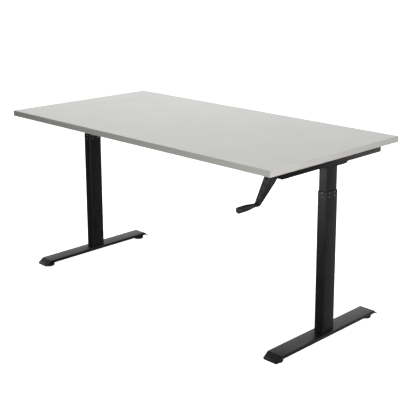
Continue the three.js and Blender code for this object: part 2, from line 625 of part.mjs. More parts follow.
// the grip widens from the arm to its round end, with a cap let into the end
function addGrip(parent) {
  const [root, end] = [crankFront - gap, gripEnd];
  const [rr, er, c] = [grip.rootRadius, grip.endRadius, grip.round];
  const bore = grip.axle + grip.play;
  const seat = er - c - screwPlay;
  const profile = [[bore, root], [rr - 1, root], [rr, root - 1], [(rr + er) / 2, root - grip.length * swell.half],
    [er - swell.last, root - grip.length * swell.full], [er, end + c]];
  const steps = 3;
  for (let i = 1; i <= steps; i += 1) {
    const a = i / steps * Math.PI / 2;
    profile.push([er - c * (1 - Math.cos(a)), end + c * (1 - Math.sin(a))]);
  }
  const seatBack = end + grip.capDepth;
  profile.push([seat, end + screwPlay], [seat, seatBack], [bore, seatBack], [bore, root]);
  place(parent, 'grip', alongY(turned(profile, 18)), 'plasticBlack', [0, 0, -crank.radius]);
  const [capEdge, capBack] = [seat - gap, seatBack - gap];
  const cap = turned([[0, end + 1], [capEdge - 1.3, end + 0.4], [capEdge, end + 1], [capEdge, capBack],
    [0, capBack]], 18);
  place(parent, 'grip_cap', alongY(cap), 'plasticBlack', [0, 0, -crank.radius]);
}

// ---- assembly ----
addWorktop(desk);
for (const [side, sign] of [['right', 1], ['left', -1]]) {
  const leg = new THREE.Group();
  leg.position.x = sign * legX;
  desk.add(leg);
  addFoot(leg, side);
  addColumn(leg, side);
  addLift(leg, side);
  addHead(leg, side);
}
addCrossbars(desk);
addCrossShaft(desk);
addDrive(desk);
addCrankBearing(desk);
addCrank(desk);

// the origin is on the floor under the middle of the whole desk, grip included
desk.position.y = -(top.depth / 2 + gripEnd) / 2;

export default desk;
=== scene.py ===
# Hand-crank sit-stand desk: grey laminate worktop, black powder-coated frame, crank at the front right.
# Metres, +Z up, +X along the worktop to the crank, the user stands on the -Y side.
import math

import bmesh
import bpy
from mathutils import Matrix, Vector


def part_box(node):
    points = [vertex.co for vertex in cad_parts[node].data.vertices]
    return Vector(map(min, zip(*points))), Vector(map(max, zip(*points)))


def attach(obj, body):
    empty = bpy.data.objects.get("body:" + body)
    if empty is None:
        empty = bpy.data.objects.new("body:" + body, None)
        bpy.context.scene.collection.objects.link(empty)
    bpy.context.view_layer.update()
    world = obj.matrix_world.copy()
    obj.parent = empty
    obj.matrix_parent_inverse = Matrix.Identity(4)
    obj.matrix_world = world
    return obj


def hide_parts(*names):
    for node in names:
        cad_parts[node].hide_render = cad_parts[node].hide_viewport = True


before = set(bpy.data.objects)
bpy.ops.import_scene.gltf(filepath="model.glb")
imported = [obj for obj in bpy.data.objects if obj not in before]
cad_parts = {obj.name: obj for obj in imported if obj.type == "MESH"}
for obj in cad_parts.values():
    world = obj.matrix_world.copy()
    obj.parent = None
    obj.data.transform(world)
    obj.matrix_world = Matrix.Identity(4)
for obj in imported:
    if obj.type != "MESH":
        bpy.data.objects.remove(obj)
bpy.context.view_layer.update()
mm = 0.001
sides = ("right", "left")
ends = ("front", "rear")


# sRGB hex to linear
def toLinear(hexColour):
    channels = [int(hexColour[i:i + 2], 16) / 255 for i in (1, 3, 5)]
    return [c / 12.92 if c <= 0.04045 else ((c + 0.055) / 1.055) ** 2.4 for c in channels] + [1.0]


# adds a node with its settings, socket values and links; stops are a colour ramp's
def addNode(material, kind, settings=None, values=None, links=None, stops=None):
    node = material.node_tree.nodes.new(kind)
    for name, value in (settings or {}).items():
        setattr(node, name, value)
    for socket, value in (values or {}).items():
        node.inputs[socket].default_value = value
    for socket, source in (links or {}).items():
        material.node_tree.links.new(source.outputs[0] if isinstance(source, bpy.types.Node) else source,
                                     node.inputs[socket])
    for i, (position, colour) in enumerate(stops or []):
        element = node.color_ramp.elements[i] if i < 2 else node.color_ramp.elements.new(position)
        element.position = position
        element.color = toLinear(colour) if isinstance(colour, str) else (colour, colour, colour, 1)
    return node


def newMaterial(name, metallic, ior=1.5):
    material = bpy.data.materials.new(name)
    material.use_nodes = True
    shader = material.node_tree.nodes["Principled BSDF"]
    shader.inputs["Metallic"].default_value = metallic
    shader.inputs["IOR"].default_value = ior
    place = addNode(material, "ShaderNodeTexCoord").outputs["Object"]
    return material, shader, place


def joinShader(material, shader, colour, roughness, normal):
    for socket, node in (("Base Color", colour), ("Roughness", roughness), ("Normal", normal)):
        material.node_tree.links.new(node.outputs[0], shader.inputs[socket])
    return material


# Melamine-faced chipboard, pressed against a matt textured plate: an even pale grey with a very
# fine pebble grain and a soft sheen at low angles, without direction.
laminate = {"colours": ("#d3d4d0", "#d8d9d5"), "grain": 1.1, "pore": 0.35, "cloud": 180, "depth": 0.05,
            "roughness": (0.36, 0.48)}


def melamineLaminate():
    material, shader, place = newMaterial("melamineLaminate", 0)
    cloud = addNode(material, "ShaderNodeTexNoise", None,
                    {"Scale": 1 / (laminate["cloud"] * mm), "Detail": 3},
                    {"Vector": place})
    grain = addNode(material, "ShaderNodeTexNoise", None,
                    {"Scale": 1 / (laminate["grain"] * mm), "Detail": 3},
                    {"Vector": place})
    pore = addNode(material, "ShaderNodeTexNoise", None, {"Scale": 1 / (laminate["pore"] * mm), "Detail": 1},
                   {"Vector": place})
    blend = addNode(material, "ShaderNodeMath", {"operation": "MULTIPLY_ADD"}, {1: 0.25},
                    {0: grain, 2: cloud})
    colour = addNode(material, "ShaderNodeValToRGB", None, None, {"Fac": blend},
                     [(0.42, laminate["colours"][0]), (0.85, laminate["colours"][1])])
    rough = addNode(material, "ShaderNodeValToRGB", None, None, {"Fac": grain},
                    [(0.3, laminate["roughness"][0]), (0.7, laminate["roughness"][1])])
    pebble = addNode(material, "ShaderNodeBump", None, {"Distance": laminate["depth"] * mm, "Strength": 0.5},
                     {"Height": grain})
    normal = addNode(material, "ShaderNodeBump", None,
                     {"Distance": laminate["depth"] * 0.4 * mm, "Strength": 0.4},
                     {"Height": pore, "Normal": pebble})
    return joinShader(material, shader, colour, rough, normal)


# ABS edge band, extruded and scraped flush: matt, with faint lengthwise lines left by the scraper.
edgeBand = {"colours": ("#c9c7c2", "#d0cec9"), "line": 0.8, "lineLength": 90, "grain": 0.9, "depth": 0.03,
            "roughness": (0.44, 0.56)}


def absEdgeBand(name, along):
    material, shader, place = newMaterial(name, 0)
    stretch = [1, 1, 1]
    stretch[along] = edgeBand["line"] / edgeBand["lineLength"]
    drawn = addNode(material, "ShaderNodeMapping", None, {"Scale": stretch}, {"Vector": place})
    lines = addNode(material, "ShaderNodeTexNoise", None, {"Scale": 1 / (edgeBand["line"] * mm)},
                    {"Vector": drawn})
    grain = addNode(material, "ShaderNodeTexNoise", None, {"Scale": 1 / (edgeBand["grain"] * mm)},
                    {"Vector": place})
    colour = addNode(material, "ShaderNodeValToRGB", None, None, {"Fac": lines},
                     [(0.35, edgeBand["colours"][0]), (0.7, edgeBand["colours"][1])])
    rough = addNode(material, "ShaderNodeValToRGB", None, None, {"Fac": grain},
                    [(0.3, edgeBand["roughness"][0]), (0.7, edgeBand["roughness"][1])])
    scraped = addNode(material, "ShaderNodeBump", None, {"Distance": edgeBand["depth"] * mm, "Strength": 0.4},
                      {"Height": lines})
    normal = addNode(material, "ShaderNodeBump", None, {"Distance": edgeBand["depth"] * mm, "Strength": 0.3},
                     {"Height": grain, "Normal": scraped})
    return joinShader(material, shader, colour, rough, normal)


# Polyester powder coat baked on steel: satin black, with a soft orange peel of about 2 mm that breaks
# up highlights, and patches where the coat fused a little glossier. Drawn slightly coarser than real.
powderCoat = {"colours": ("#0e0e0d", "#161514"), "peel": 1.8, "grain": 0.45, "patch": 60, "depth": 0.035,
              "coat": 0.15, "coatRoughness": 0.3}


def powderCoatBlack(name, roughness, peelDepth=1.0):
    material, shader, place = newMaterial(name, 0)
    peel = addNode(material, "ShaderNodeTexNoise", None, {"Scale": 1 / (powderCoat["peel"] * mm)},
                   {"Vector": place})
    grain = addNode(material, "ShaderNodeTexNoise", None, {"Scale": 1 / (powderCoat["grain"] * mm)},
                    {"Vector": place})
    patch = addNode(material, "ShaderNodeTexNoise", None,
                    {"Scale": 1 / (powderCoat["patch"] * mm), "Detail": 3},
                    {"Vector": place})
    colour = addNode(material, "ShaderNodeValToRGB", None, None, {"Fac": patch},
                     [(0.3, powderCoat["colours"][0]), (0.75, powderCoat["colours"][1])])
    blend = addNode(material, "ShaderNodeMath", {"operation": "MULTIPLY_ADD"}, {1: 0.4}, {0: grain, 2: patch})
    rough = addNode(material, "ShaderNodeValToRGB", None, None, {"Fac": blend},
                    [(0.4, roughness[0]), (0.95, roughness[1])])
    orangePeel = addNode(material, "ShaderNodeBump", None,
                         {"Distance": powderCoat["depth"] * peelDepth * mm, "Strength": 0.55},
                         {"Height": peel})
    normal = addNode(material, "ShaderNodeBump", None,
                     {"Distance": powderCoat["depth"] * 0.4 * mm, "Strength": 0.35},
                     {"Height": grain, "Normal": orangePeel})
    shader.inputs["Coat Weight"].default_value = powderCoat["coat"]
    shader.inputs["Coat Roughness"].default_value = powderCoat["coatRoughness"]
    return joinShader(material, shader, colour, rough, normal)


# Glass-filled nylon and polypropylene, injection moulded in a spark-eroded mould: dark and matt,
# with an even fine pebble grain and slight flow marks along the piece.
moulding = {"grain": 0.55, "flow": 22, "flowStretch": 0.25, "depth": 0.05}


def mouldedPlastic(name, colours, roughness, flowAlong=2):
    material, shader, place = newMaterial(name, 0, 1.53)
    stretch = [1, 1, 1]
    stretch[flowAlong] = moulding["flowStretch"]
    drawn = addNode(material, "ShaderNodeMapping", None, {"Scale": stretch}, {"Vector": place})
    flow = addNode(material, "ShaderNodeTexNoise", None, {"Scale": 1 / (moulding["flow"] * mm), "Detail": 3},
                   {"Vector": drawn})
    grain = addNode(material, "ShaderNodeTexNoise", None,
                    {"Scale": 1 / (moulding["grain"] * mm), "Detail": 3},
                    {"Vector": place})
    cells = addNode(material, "ShaderNodeTexVoronoi", {"feature": "SMOOTH_F1"},
                    {"Scale": 1 / (moulding["grain"] * 1.6 * mm)}, {"Vector": place})
    colour = addNode(material, "ShaderNodeValToRGB", None, None, {"Fac": flow},
                     [(0.3, colours[0]), (0.75, colours[1])])
    rough = addNode(material, "ShaderNodeValToRGB", None, None, {"Fac": grain},
                    [(0.3, roughness[0]), (0.7, roughness[1])])
    pebble = addNode(material, "ShaderNodeBump", None, {"Distance": moulding["depth"] * mm, "Strength": 0.4},
                     {"Height": cells})
    normal = addNode(material, "ShaderNodeBump", None,
                     {"Distance": moulding["depth"] * 0.5 * mm, "Strength": 0.3},
                     {"Height": grain, "Normal": pebble})
    return joinShader(material, shader, colour, rough, normal)


# Steel and brass from bar: turned across, or drawn along, which leaves fine lines under a film of oil.
machining = {"line": 0.35, "across": 0.04, "blotch": 14, "depth": 0.012, "roughness": (0.24, 0.42)}


def machinedMetal(name, colours, along, drawn=False):
    material, shader, place = newMaterial(name, 1)
    stretch = [1 if drawn else machining["across"]] * 3
    stretch[along] = machining["across"] if drawn else 1
    run = addNode(material, "ShaderNodeMapping", None, {"Scale": stretch}, {"Vector": place})
    lines = addNode(material, "ShaderNodeTexNoise", None,
                    {"Scale": 1 / (machining["line"] * mm), "Detail": 3},
                    {"Vector": run})
    blotch = addNode(material, "ShaderNodeTexNoise", None,
                     {"Scale": 1 / (machining["blotch"] * mm), "Detail": 4},
                     {"Vector": place})
    colour = addNode(material, "ShaderNodeValToRGB", None, None, {"Fac": blotch},
                     [(0.3, colours[0]), (0.7, colours[1])])
    rough = addNode(material, "ShaderNodeValToRGB", None, None, {"Fac": lines},
                    [(0.3, machining["roughness"][0]), (0.7, machining["roughness"][1])])
    normal = addNode(material, "ShaderNodeBump", None, {"Distance": machining["depth"] * mm, "Strength": 0.5},
                     {"Height": lines})
    return joinShader(material, shader, colour, rough, normal)


# Zinc plate with clear passivation: bright and slightly bluish, with a cloudy spangle.
zinc = {"colours": ("#a9aeb3", "#c6cace"), "spangle": 2.5, "cloud": 5, "depth": 0.02,
        "roughness": (0.22, 0.4)}


def zincPlate():
    material, shader, place = newMaterial("zincPlate", 1)
    spangle = addNode(material, "ShaderNodeTexVoronoi", None, {"Scale": 1 / (zinc["spangle"] * mm)},
                      {"Vector": place})
    cloud = addNode(material, "ShaderNodeTexNoise", None, {"Scale": 1 / (zinc["cloud"] * mm), "Detail": 4},
                    {"Vector": place})
    colour = addNode(material, "ShaderNodeValToRGB", None, None, {"Fac": cloud},
                     [(0.3, zinc["colours"][0]), (0.7, zinc["colours"][1])])
    rough = addNode(material, "ShaderNodeValToRGB", None, None, {"Fac": spangle},
                    [(0.0, zinc["roughness"][0]), (0.8, zinc["roughness"][1])])
    normal = addNode(material, "ShaderNodeBump", None, {"Distance": zinc["depth"] * mm, "Strength": 0.4},
                     {"Height": cloud})
    return joinShader(material, shader, colour, rough, normal)


print("materials")
melamine = melamineLaminate()
bandLong = absEdgeBand("absEdgeBandLong", 0)
bandShort = absEdgeBand("absEdgeBandShort", 1)
powder = powderCoatBlack("powderCoatBlack", (0.3, 0.42))
castPaint = powderCoatBlack("castPaintBlack", (0.42, 0.56), 3.0)
blackZinc = powderCoatBlack("blackZincCoat", (0.3, 0.45), 0.3)
nylon = mouldedPlastic("nylonBlack", ("#161617", "#1f1f20"), (0.42, 0.55))
crankPlastic = mouldedPlastic("glassFilledNylonBlack", ("#161617", "#1e1e1f"), (0.34, 0.46))
pinPlastic = mouldedPlastic("pinNylonGrey", ("#8c8c8e", "#9a9a9c"), (0.4, 0.5))
gripPlastic = mouldedPlastic("gripPolypropyleneBlack", ("#1d1d1e", "#262627"), (0.28, 0.4), 1)
padPlastic = mouldedPlastic("padPlasticBlack", ("#101010", "#191919"), (0.45, 0.6))
groundSteel = machinedMetal("groundSteelUpright", ("#8b8f94", "#a4a8ac"), 2)
shaftSteel = machinedMetal("drawnSteelCross", ("#84888c", "#9da1a5"), 0, drawn=True)
rodSteel = machinedMetal("drawnSteelCrank", ("#8b8f94", "#a9adb1"), 1, drawn=True)
zincCoat = zincPlate()
brassMetal = machinedMetal("machinedBrass", ("#b08f4a", "#c6a862"), 2)


def middleOf(node):
    low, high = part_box(node)
    return (low + high) / 2


def newVerts(bm, before):
    return [v for v in bm.verts if v not in before]


# the finished mesh becomes a piece that rides on a body and stands for its CAD nodes
def finishPiece(name, bm, body, nodes, material, bevel=0, bevelSegments=2, smoothAngle=35, limit=30):
    bmesh.ops.remove_doubles(bm, verts=bm.verts, dist=1e-6)
    bmesh.ops.recalc_face_normals(bm, faces=bm.faces)
    mesh = bpy.data.meshes.new(name)
    bm.to_mesh(mesh)
    bm.free()
    piece = bpy.data.objects.new(name, mesh)
    bpy.context.scene.collection.objects.link(piece)
    mesh.materials.append(material)
    mesh.shade_smooth()
    mesh.set_sharp_from_angle(angle=math.radians(smoothAngle))
    if bevel:
        rounding = piece.modifiers.new("rounding", "BEVEL")
        rounding.width = bevel
        rounding.segments = bevelSegments
        rounding.limit_method = "ANGLE"
        rounding.angle_limit = math.radians(limit)
        rounding.harden_normals = True
    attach(piece, body)
    if nodes:
        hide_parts(*nodes)
    return piece


def boxBetween(bm, low, high):
    low, high = Vector(low), Vector(high)
    made = bmesh.ops.create_cube(bm, size=1)["verts"]
    bmesh.ops.scale(bm, vec=high - low, verts=made)
    bmesh.ops.translate(bm, vec=(low + high) / 2, verts=made)
    return made


def edgesAlong(verts, axis, keep=lambda edge: True):
    inside = set(verts)
    chosen = []
    for edge in {e for v in verts for e in v.link_edges}:
        a, b = edge.verts
        if a in inside and b in inside:
            run = (a.co - b.co).normalized()
            if abs(run[axis]) > 0.999 and keep(edge):
                chosen.append(edge)
    return chosen


def bevelEdges(bm, edges, offset, segments):
    return bmesh.ops.bevel(bm, geom=edges, offset=offset, offset_type="OFFSET", segments=segments,
                           profile=0.5, affect="EDGES", material=-1, clamp_overlap=True)


def bevelCorners(bm, corners, offset, segments):
    return bmesh.ops.bevel(bm, geom=corners, offset=offset, offset_type="OFFSET", segments=segments,
                           profile=0.5, affect="VERTICES", material=-1)


def extruded(bm, faces, move):
    grown = bmesh.ops.extrude_face_region(bm, geom=faces)["geom"]
    bmesh.ops.translate(bm, vec=move, verts=[g for g in grown if isinstance(g, bmesh.types.BMVert)])


# a rounded rectangle in X and Y at height z, as one face
def roundedFace(bm, centre, width, depth, radius, segments, z):
    made = bmesh.ops.create_grid(bm, x_segments=1, y_segments=1, size=0.5)["verts"]
    bmesh.ops.scale(bm, vec=(width, depth, 1), verts=made)
    bmesh.ops.translate(bm, vec=(centre[0], centre[1], z), verts=made)
    done = bevelCorners(bm, list(made), radius, segments)
    return max((f for v in done["verts"] for f in v.link_faces), key=lambda f: f.calc_area())


# a tube wall between a bottom and a top height, rounded at its four corners
def rectTube(bm, centre, width, depth, corner, wall, bottom, top, segments=6):
    before = set(bm.verts)
    outer = roundedFace(bm, centre, width, depth, corner, segments, bottom)
    innerCorner = max(corner - wall, 0.3 * mm)
    inner = roundedFace(bm, centre, width - 2 * wall, depth - 2 * wall, innerCorner, segments, bottom)
    loops = list(outer.edges) + list(inner.edges)
    bmesh.ops.delete(bm, geom=[outer, inner], context="FACES_ONLY")
    extruded(bm, bmesh.ops.bridge_loops(bm, edges=loops)["faces"], (0, 0, top - bottom))
    return newVerts(bm, before)


# from along Z to along another axis, at a point
def laidAlong(axis, centre):
    turn = Vector((0, 0, 1)).rotation_difference(Vector(axis))
    return Matrix.Translation(centre) @ turn.to_matrix().to_4x4()


# a profile of (radius, height) points turned about an axis through a point
def turnedBody(bm, profile, centre, axis, segments=32):
    before = set(bm.verts)
    made = [bm.verts.new((r, 0, h)) for r, h in profile]
    rim = [bm.edges.new((a, b)) for a, b in zip(made, made[1:])]
    bmesh.ops.spin(bm, geom=made + rim, cent=(0, 0, 0), axis=(0, 0, 1), angle=2 * math.pi,
                   steps=segments, use_merge=True, use_duplicate=False)
    bmesh.ops.remove_doubles(bm, verts=newVerts(bm, before), dist=1e-6)
    verts = newVerts(bm, before)
    bmesh.ops.transform(bm, matrix=laidAlong(axis, centre), verts=verts)
    return verts


def quarterRound(centreR, centreH, radius, start, end, steps=5):
    turns = [math.radians(start + (end - start) * i / steps) for i in range(steps + 1)]
    return [(centreR + radius * math.cos(a), centreH + radius * math.sin(a)) for a in turns]


# a bar of so many flats from start to end along an axis, chamfered at both ends
def prismBar(bm, flats, sidesCount, centre, axis, start, end, chamfer=0):
    before = set(bm.verts)
    radius = flats / 2 / math.cos(math.pi / sidesCount)
    made = bmesh.ops.create_cone(bm, cap_ends=True, segments=sidesCount, radius1=radius, radius2=radius,
                                 depth=end - start)["verts"]
    bmesh.ops.translate(bm, vec=(0, 0, (start + end) / 2), verts=made)
    if chamfer:
        rims = {e for v in made for e in v.link_edges if abs(e.verts[0].co.z - e.verts[1].co.z) < 1e-7}
        bevelEdges(bm, list(rims), chamfer, 1)
    verts = newVerts(bm, before)
    bmesh.ops.transform(bm, matrix=laidAlong(axis, centre), verts=verts)
    return verts


# cuts a round hole in a flat stretch of sheet, or sinks a round pocket into a solid's face
def roundHole(bm, centre, axis, radius, sink=None, room=1.5):
    centre = Vector(centre)
    half = radius * room

    def flatHere(face):
        return abs(face.normal[axis]) > 0.99 and abs(face.calc_center_median()[axis] - centre[axis]) < 1e-5

    for i in (i for i in range(3) if i != axis):
        for way in (-1, 1):
            spot, normal = centre.copy(), Vector((0, 0, 0))
            spot[i] += way * half
            normal[i] = 1
            near = [f for f in bm.faces if flatHere(f)]
            geom = near + list({e for f in near for e in f.edges}) + list({v for f in near for v in f.verts})
            bmesh.ops.bisect_plane(bm, geom=geom, dist=1e-7, plane_co=spot, plane_no=normal)
    face = min((f for f in bm.faces if flatHere(f)), key=lambda f: (f.calc_center_median() - centre).length)
    bmesh.ops.subdivide_edges(bm, edges=list(face.edges), cuts=3)
    bmesh.ops.inset_individual(bm, faces=[face], thickness=half * 0.15, use_even_offset=True)
    for v in face.verts:
        v.co = centre + (v.co - centre).normalized() * radius
    if sink is None:
        bmesh.ops.delete(bm, geom=[face], context="FACES_ONLY")
    else:
        bmesh.ops.inset_individual(bm, faces=[face], thickness=0.05 * mm, depth=-sink)


def makeWorktop():
    worktop = {"boardEdge": 0.15, "bandRound": 1.0, "bandSegments": 4}
    low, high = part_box("tabletop_board")
    outLow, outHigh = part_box("edge_band_left")[0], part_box("edge_band_right")[1]
    outLow.y, outHigh.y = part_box("edge_band_front")[0].y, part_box("edge_band_rear")[1].y
    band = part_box("edge_band_front")[1].y - outLow.y
    bm = bmesh.new()
    inLow = Vector((outLow.x + band, outLow.y + band, low.z))
    inHigh = Vector((outHigh.x - band, outHigh.y - band, high.z))
    board = boxBetween(bm, inLow, inHigh)
    bevelEdges(bm, edgesAlong(board, 0) + edgesAlong(board, 1), worktop["boardEdge"] * mm, 1)
    finishPiece("worktopBoard", bm, "upper_frame", ["tabletop_board"], melamine)
    spans = {
        "front": ((outLow.x, outLow.y), (outHigh.x, inLow.y), 0, lambda v: v.co.y < inLow.y - band / 2),
        "rear": ((outLow.x, inHigh.y), (outHigh.x, outHigh.y), 0, lambda v: v.co.y > inHigh.y + band / 2),
        "left": ((outLow.x, inLow.y), (inLow.x, inHigh.y), 1, lambda v: v.co.x < inLow.x - band / 2),
        "right": ((inHigh.x, inLow.y), (outHigh.x, inHigh.y), 1, lambda v: v.co.x > inHigh.x + band / 2),
    }
    for word, (a, b, axis, outside) in spans.items():
        bm = bmesh.new()
        strip = boxBetween(bm, (*a, low.z), (*b, high.z))
        rounds = edgesAlong(strip, axis, lambda e: outside(e.verts[0]))
        if axis == 0:
            rounds += edgesAlong(strip, 2, lambda e: outside(e.verts[0]))
        bevelEdges(bm, rounds, worktop["bandRound"] * mm, worktop["bandSegments"])
        material = bandLong if axis == 0 else bandShort
        finishPiece(f"edgeBand_{word}", bm, "upper_frame", [f"edge_band_{word}"], material)


# a folded steel channel with sloping ends
def makeFoot(side):
    foot = {"plate": 3.0, "flange": 14.0, "slopeRun": 29.0, "slopeBottom": 12.0, "crease": 2.0,
            "tipRound": 8.0, "edge": 0.4, "nutFlats": 17.0, "nutDepth": 9.0, "nutChamfer": 0.8}
    low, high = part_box(f"foot_{side}")
    cx, cy = (low.x + high.x) / 2, (low.y + high.y) / 2
    w = (high.x - low.x) / 2
    top = high.z
    tip = high.y - cy
    flat = tip - foot["slopeRun"] * mm
    drop = top - foot["slopeBottom"] * mm
    flangeLow = top - foot["flange"] * mm
    flangeEnd = flat + foot["slopeRun"] * mm * foot["flange"] * mm / drop
    rows = [(-tip, foot["slopeBottom"] * mm), (-flangeEnd, flangeLow), (-flat, top),
            (flat, top), (flangeEnd, flangeLow), (tip, foot["slopeBottom"] * mm)]
    bm = bmesh.new()
    made = [[bm.verts.new((cx + s * w, cy + y, z)) for s in (-1, 1)] for y, z in rows]
    for a, b in zip(made, made[1:]):
        bm.faces.new((a[0], a[1], b[1], b[0]))
    sideEdges = [e for e in bm.edges for s in (0, 1)
                 if any({made[i][s], made[i + 1][s]} == set(e.verts) for i in (1, 2, 3))]
    grown = bmesh.ops.extrude_edge_only(bm, edges=sideEdges)["geom"]
    for v in [g for g in grown if isinstance(g, bmesh.types.BMVert)]:
        v.co.z = flangeLow
    bmesh.ops.remove_doubles(bm, verts=bm.verts, dist=1e-6)
    tips = [v for v in bm.verts if abs(abs(v.co.y - cy) - tip) < 1e-6]
    bevelCorners(bm, tips, foot["tipRound"] * mm, 5)
    folds = [e for e in bm.edges if e.is_manifold and e.calc_face_angle() > math.radians(20)]
    bevelEdges(bm, folds, foot["crease"] * mm, 4)
    bmesh.ops.recalc_face_normals(bm, faces=bm.faces)
    if max(bm.faces, key=lambda f: f.calc_area()).normal.z < 0:
        bmesh.ops.reverse_faces(bm, faces=bm.faces)
    piece = finishPiece(f"foot_{side}_channel", bm, "base", [f"foot_{side}"], powder)
    giveThickness(piece, foot["plate"] * mm, foot["edge"] * mm)
    for word in ends:
        pad = middleOf(f"levelling_foot_{side}_{word}")
        centre = (pad.x, pad.y, 0)
        nutTop = top - foot["plate"] * mm
        bm = bmesh.new()
        prismBar(bm, foot["nutFlats"] * mm, 6, centre, (0, 0, 1), nutTop - foot["nutDepth"] * mm, nutTop,
                 foot["nutChamfer"] * mm)
        finishPiece(f"weldNut_{side}_{word}", bm, "base", [], powder, 0.3 * mm)


# sheet steel: the outer skin gets its thickness inwards, then its cut edges are broken
def giveThickness(piece, thickness, edgeRound):
    plate = piece.modifiers.new("plate", "SOLIDIFY")
    plate.thickness = thickness
    plate.offset = -1
    plate.use_even_offset = True
    edge = piece.modifiers.new("edges", "BEVEL")
    edge.width = edgeRound
    edge.segments = 2
    edge.limit_method = "ANGLE"
    edge.angle_limit = math.radians(50)


# a moulded pad on a threaded stud
def makeLevellingFoot(side, word):
    stud = {"radius": 5.0, "pitch": 1.5, "threadDepth": 0.9, "padRadius": 25.0, "padHeight": 14.0}
    node = f"levelling_foot_{side}_{word}"
    low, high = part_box(node)
    centre = ((low.x + high.x) / 2, (low.y + high.y) / 2, 0)
    r, h = stud["padRadius"] * mm, stud["padHeight"] * mm
    profile = [(0, 0), (r - 3.2 * mm, 0)] + quarterRound(r - 3 * mm, 3 * mm, 3 * mm, -80, 0)
    profile += [(r, h - 6 * mm)] + quarterRound(r - 2 * mm, h - 6 * mm, 2 * mm, 20, 80, 4)
    profile += [(r - 6 * mm, h - 3.2 * mm), (12 * mm, h - 2.4 * mm), (9.6 * mm, h - 0.8 * mm), (9 * mm, h),
                (0, h)]
    bm = bmesh.new()
    turnedBody(bm, profile, centre, (0, 0, 1), 40)
    finishPiece(f"levellingPad_{side}_{word}", bm, node, [node], padPlastic)
    outer, root = stud["radius"] * mm, (stud["radius"] - stud["threadDepth"]) * mm
    bm = bmesh.new()
    thread = threadProfile(outer, root, h - 0.5 * mm, high.z, stud["pitch"] * mm)
    turnedBody(bm, thread, centre, (0, 0, 1), 24)
    finishPiece(f"levellingStud_{side}_{word}", bm, node, [], zincCoat)


# a thread drawn as rings, one for each pitch
def threadProfile(outer, root, start, end, pitch):
    points = [(0, start), (root, start)]
    for i in range(int((end - start) / pitch - 0.2)):
        base = start + (i + 0.3) * pitch
        points += [(root, base), (outer, base + 0.35 * pitch), (outer, base + 0.5 * pitch),
                   (root, base + 0.85 * pitch)]
    return points + [(root, end - 0.1 * mm), (0, end)]


def pinSpots(side):
    pins = {"belowRim": 3.5, "spacing": 15.5, "halfPitch": 16.4}
    low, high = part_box(f"outer_tube_{side}")
    cx, cy = (low.x + high.x) / 2, (low.y + high.y) / 2
    spots = []
    for row in (0, 1):
        z = high.z - (pins["belowRim"] + row * pins["spacing"]) * mm
        for facing in (-1, 1):
            spots.append(((cx, cy + facing * (high.y - cy), z), (0, facing, 0)))
            for across in (-1, 1):
                y = cy + across * pins["halfPitch"] * mm
                spots.append(((cx + facing * (high.x - cx), y, z), (facing, 0, 0)))
    return spots


def makeColumn(side):
    tube = {"corner": 4.0, "wall": 1.5, "lip": 0.35, "innerCorner": 2.5}
    middle = middleOf(f"outer_tube_{side}")
    parts = (("outer", "base", "corner", 8), ("inner", "upper_frame", "innerCorner", 6))
    for part, body, corner, segments in parts:
        low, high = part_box(f"{part}_tube_{side}")
        bm = bmesh.new()
        rectTube(bm, middle, high.x - low.x, high.y - low.y, tube[corner] * mm, tube["wall"] * mm,
                 low.z, high.z, segments)
        finishPiece(f"{part}Tube_{side}", bm, body, [f"{part}_tube_{side}"], powder,
                    tube["lip"] * mm, 2, limit=60)


# the upper glide: a rim on the outer tube, a skirt inside it, and the round pins that hold it
def makeCollar(side):
    collar = {"chamfer": 0.6, "corner": 4.0, "openCorner": 2.0, "running": 0.25, "skirt": 42.0,
              "skirtWall": 0.8, "skirtCorner": 2.5, "pinRadius": 2.5, "pinProud": 0.5, "pinDepth": 1.6}
    low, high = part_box(f"outer_tube_{side}")
    inLow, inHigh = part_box(f"inner_tube_{side}")
    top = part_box(f"column_collar_{side}")[1].z
    centre = ((low.x + high.x) / 2, (low.y + high.y) / 2)
    openWidth = inHigh.x - inLow.x + 2 * collar["running"] * mm
    openDepth = inHigh.y - inLow.y + 2 * collar["running"] * mm
    rimBottom = high.z + 0.2 * mm
    bm = bmesh.new()
    outer = roundedFace(bm, centre, high.x - low.x, high.y - low.y, collar["corner"] * mm, 8, rimBottom)
    inner = roundedFace(bm, centre, openWidth, openDepth, collar["openCorner"] * mm, 8, rimBottom)
    loops = list(outer.edges) + list(inner.edges)
    bmesh.ops.delete(bm, geom=[outer, inner], context="FACES_ONLY")
    extruded(bm, bmesh.ops.bridge_loops(bm, edges=loops)["faces"], (0, 0, top - rimBottom))
    wall = collar["skirtWall"] * mm
    rectTube(bm, centre, openWidth + 2 * wall, openDepth + 2 * wall, collar["skirtCorner"] * mm, wall,
             high.z - collar["skirt"] * mm, high.z + 0.1 * mm, 4)
    finishPiece(f"collar_{side}", bm, "base", [f"column_collar_{side}"], nylon,
                collar["chamfer"] * mm, 3, limit=60)
    r, proud = collar["pinRadius"] * mm, collar["pinProud"] * mm
    profile = [(0, -collar["pinDepth"] * mm), (r, -collar["pinDepth"] * mm), (r, 0), (r * 0.86, proud * 0.7),
               (r * 0.55, proud), (r * 0.42, proud), (r * 0.36, proud * 0.4), (0, proud * 0.35)]
    bm = bmesh.new()
    for spot, out in pinSpots(side):
        turnedBody(bm, profile, spot, out, 20)
    finishPiece(f"glidePins_{side}", bm, "base", [], pinPlastic)


